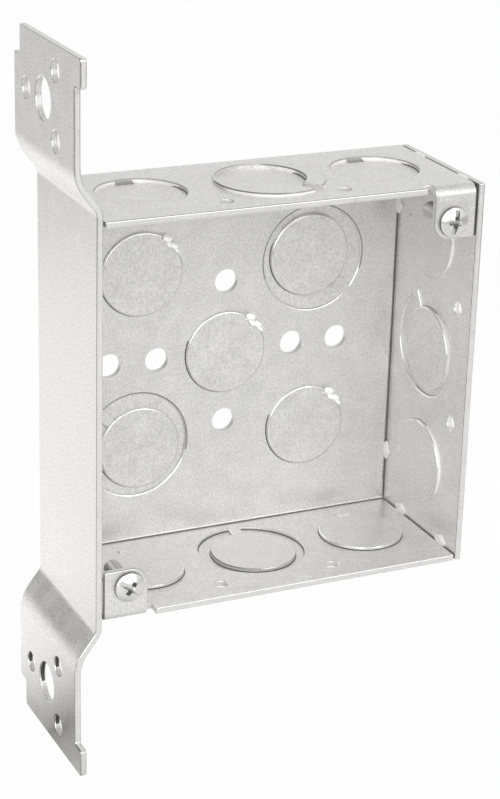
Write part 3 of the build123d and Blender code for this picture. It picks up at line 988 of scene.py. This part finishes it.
floor_mesh = bpy.data.meshes.new("floor")
floor_corners = [(sx * FLOOR_REACH, sy * FLOOR_REACH, 0) for sx, sy in ((-1, -1), (1, -1), (1, 1), (-1, 1))]
floor_mesh.from_pydata(floor_corners, [], [(0, 1, 2, 3)])
floor = bpy.data.objects.new("floor", floor_mesh)
floor.location.z = cad_box[0].z - FLOOR_DROP
bpy.context.scene.collection.objects.link(floor)
floor_finish = bpy.data.materials.new("floor")
nodes = Nodes(floor_finish)
where = nodes.add("TexCoord").outputs["Object"]
paper = nodes.ramp(nodes.noise(where, PAPER_GRAIN), PAPER_TONES)
diffuse = nodes.add("BsdfDiffuse", Color=paper).outputs[0]
distance = nodes.add("VectorMath", {"operation": "LENGTH"}, Vector=where).outputs["Value"]
reach = nodes.add("MapRange", Value=distance)
reach.inputs["From Max"].default_value = REACH_END
falloff = nodes.levels(reach.outputs["Result"], FLOOR_REACHES)
direction = nodes.add("TexGradient", {"gradient_type": "RADIAL"}, Vector=where).outputs["Fac"]
around = nodes.levels(direction, FLOOR_AROUND)
white = nodes.add("Emission", Color=(1, 1, 1, 1), Strength=1.0).outputs[0]
lit = nodes.add("Emission", Color=falloff, Strength=around).outputs[0]
camera_share, mirror_share = light_paths(nodes)
seen = nodes.add("Math", {"operation": "MULTIPLY"})
nodes.put(seen.inputs[0], camera_share)
seen.inputs[1].default_value = FLOOR_GLOW
surface = nodes.shader_mix(mirror_share, nodes.shader_mix(seen.outputs[0], diffuse, white), lit)
nodes.add("OutputMaterial", Surface=surface)
floor_mesh.materials.append(floor_finish)

world = bpy.data.worlds.new("studio")
bpy.context.scene.world = world
nodes = Nodes(world)
where = nodes.add("TexCoord").outputs["Generated"]
height = nodes.add("SeparateXYZ", Vector=where).outputs["Z"]
direction = nodes.add("TexGradient", {"gradient_type": "RADIAL"}, Vector=where).outputs["Fac"]
around = nodes.levels(direction, ROOM_AROUND)
level = nodes.blend(nodes.levels(height, ROOM_RISE), around, ZENITH)
room = nodes.add("Background", Color=(1, 1, 1, 1), Strength=ROOM_LEVEL).outputs[0]
mirrored = nodes.add("Background", Color=(1, 1, 1, 1), Strength=level).outputs[0]
white = nodes.add("Background", Color=(1, 1, 1, 1), Strength=1.0).outputs[0]
camera_share, mirror_share = light_paths(nodes)
lighting = nodes.shader_mix(mirror_share, room, mirrored)
nodes.add("OutputWorld", Surface=nodes.shader_mix(camera_share, lighting, white))


def soft_lamp(name, place, aim, size, watts):
    """A square soft box at a place, aimed at a point, which metal doesn't mirror."""
    lamp = bpy.data.lights.new(name, "AREA")
    lamp.shape = "SQUARE"
    lamp.size = size
    lamp.energy = watts
    holder = bpy.data.objects.new(name, lamp)
    holder.location = place
    holder.rotation_euler = (aim - place).to_track_quat("-Z", "Y").to_euler()
    holder.visible_glossy = False
    bpy.context.scene.collection.objects.link(holder)


soft_lamp("key", place=Vector((-0.10, -0.95, 0.42)), aim=TARGET, size=0.7, watts=4.6)
soft_lamp("side_fill", place=Vector((-0.90, -0.02, 0.05)), aim=TARGET, size=0.5, watts=0.8)

# Camera
right = Vector((math.cos(AZIMUTH), math.sin(AZIMUTH), 0))
sideways = math.cos(ELEVATION)
away = Vector((math.sin(AZIMUTH) * sideways, -math.cos(AZIMUTH) * sideways, math.sin(ELEVATION)))
up = away.cross(right)
rolled_right = right * math.cos(ROLL) + up * math.sin(ROLL)
rolled_up = up * math.cos(ROLL) - right * math.sin(ROLL)
camera = bpy.data.cameras.new("camera")
camera.sensor_width = SENSOR
camera.lens = FOCAL_PIXELS * SENSOR / IMAGE_HEIGHT
camera.clip_start = 10 * MM
viewer = bpy.data.objects.new("camera", camera)
turned = Matrix((rolled_right, rolled_up, away)).transposed().to_4x4()
viewer.matrix_world = Matrix.Translation(TARGET + away * DISTANCE) @ turned
bpy.context.scene.collection.objects.link(viewer)
bpy.context.scene.camera = viewer
bpy.context.scene.view_settings.view_transform = "Standard"
